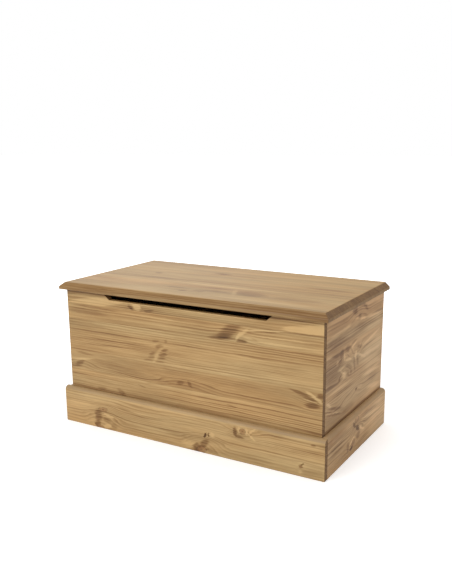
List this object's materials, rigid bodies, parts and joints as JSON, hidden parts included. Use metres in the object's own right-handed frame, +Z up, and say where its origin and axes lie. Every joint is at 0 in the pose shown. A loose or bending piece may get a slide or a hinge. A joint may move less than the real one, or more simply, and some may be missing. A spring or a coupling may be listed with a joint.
{
  "type": "storage trunk",
  "caption": "Low pine storage trunk with a hinged moulded lid on slotted stays, a finger slot in the front and a planted plinth.",
  "frame": {"origin": "on the floor, under the middle of the box that the whole trunk fills", "axes": "+X along the front from its left to its right, +Y from the front to the back, +Z up"},
  "size_m": [0.8314, 0.4432, 0.4193],
  "materials": {
    "waxed_pine": "satin wax",
    "lid_pine": "satin wax",
    "batten_pine": "planed, unwaxed",
    "base_board": "sanded, unwaxed",
    "plated_brass": "bright plated",
    "bright_zinc": "zinc plated"
  },
  "bodies": {
    "box": {"front_panel": "waxed_pine", "back_panel": "waxed_pine", "left_side_panel": "waxed_pine", "right_side_panel": "waxed_pine", "plinth_front": "waxed_pine", "plinth_left": "waxed_pine", "plinth_right": "waxed_pine", "base_panel": "base_board", "base_batten_front": "batten_pine", "base_batten_back": "batten_pine", "base_batten_left": "batten_pine", "base_batten_right": "batten_pine", "hinge_left_fixed_leaf": "plated_brass", "hinge_left_pin": "plated_brass", "hinge_left_fixed_screw_1": "plated_brass", "hinge_left_fixed_screw_2": "plated_brass", "hinge_left_fixed_screw_3": "plated_brass", "hinge_right_fixed_leaf": "plated_brass", "hinge_right_pin": "plated_brass", "hinge_right_fixed_screw_1": "plated_brass", "hinge_right_fixed_screw_2": "plated_brass", "hinge_right_fixed_screw_3": "plated_brass", "stay_left_pin": "bright_zinc", "stay_right_pin": "bright_zinc", "cam_front_left_lower": "bright_zinc", "cam_front_left_upper": "bright_zinc", "cam_front_right_lower": "bright_zinc", "cam_front_right_upper": "bright_zinc", "cam_back_left_lower": "bright_zinc", "cam_back_left_upper": "bright_zinc", "cam_back_right_lower": "bright_zinc", "cam_back_right_upper": "bright_zinc", "cam_bolt_front_left_lower": "bright_zinc", "cam_bolt_front_left_upper": "bright_zinc", "cam_bolt_front_right_lower": "bright_zinc", "cam_bolt_front_right_upper": "bright_zinc", "cam_bolt_back_left_lower": "bright_zinc", "cam_bolt_back_left_upper": "bright_zinc", "cam_bolt_back_right_lower": "bright_zinc", "cam_bolt_back_right_upper": "bright_zinc"},
    "lid": {"lid_panel": "lid_pine", "lid_batten_left": "batten_pine", "lid_batten_right": "batten_pine", "lid_batten_left_screw_front": "bright_zinc", "lid_batten_left_screw_back": "bright_zinc", "lid_batten_right_screw_front": "bright_zinc", "lid_batten_right_screw_back": "bright_zinc", "hinge_left_moving_leaf": "plated_brass", "hinge_left_moving_screw_1": "plated_brass", "hinge_left_moving_screw_2": "plated_brass", "hinge_left_moving_screw_3": "plated_brass", "hinge_right_moving_leaf": "plated_brass", "hinge_right_moving_screw_1": "plated_brass", "hinge_right_moving_screw_2": "plated_brass", "hinge_right_moving_screw_3": "plated_brass", "stay_left_pivot": "bright_zinc", "stay_right_pivot": "bright_zinc"},
    "stay_left": {"stay_left_arm": "bright_zinc"},
    "stay_right": {"stay_right_arm": "bright_zinc"}
  },
  "joints": [
    {"name": "lid_hinge", "type": "hinge", "parent": "box", "child": "lid", "pos_m": [0, 0.2184, 0.39815], "axis": [-1, 0, 0], "range_deg": [0, 95]},
    {"name": "stay_left_pivot", "type": "hinge", "parent": "lid", "child": "stay_left", "pos_m": [-0.381, 0.09864, 0.3905], "axis": [-1, 0, 0], "range_deg": [-47.5, 0]},
    {"name": "stay_right_pivot", "type": "hinge", "parent": "lid", "child": "stay_right", "pos_m": [0.381, 0.09864, 0.3905], "axis": [-1, 0, 0], "range_deg": [-47.5, 0]}
  ],
  "couplings": [
    {"joint": "stay_left_pivot", "follows": "lid_hinge", "ratio": -0.5},
    {"joint": "stay_right_pivot", "follows": "lid_hinge", "ratio": -0.5}
  ]
}
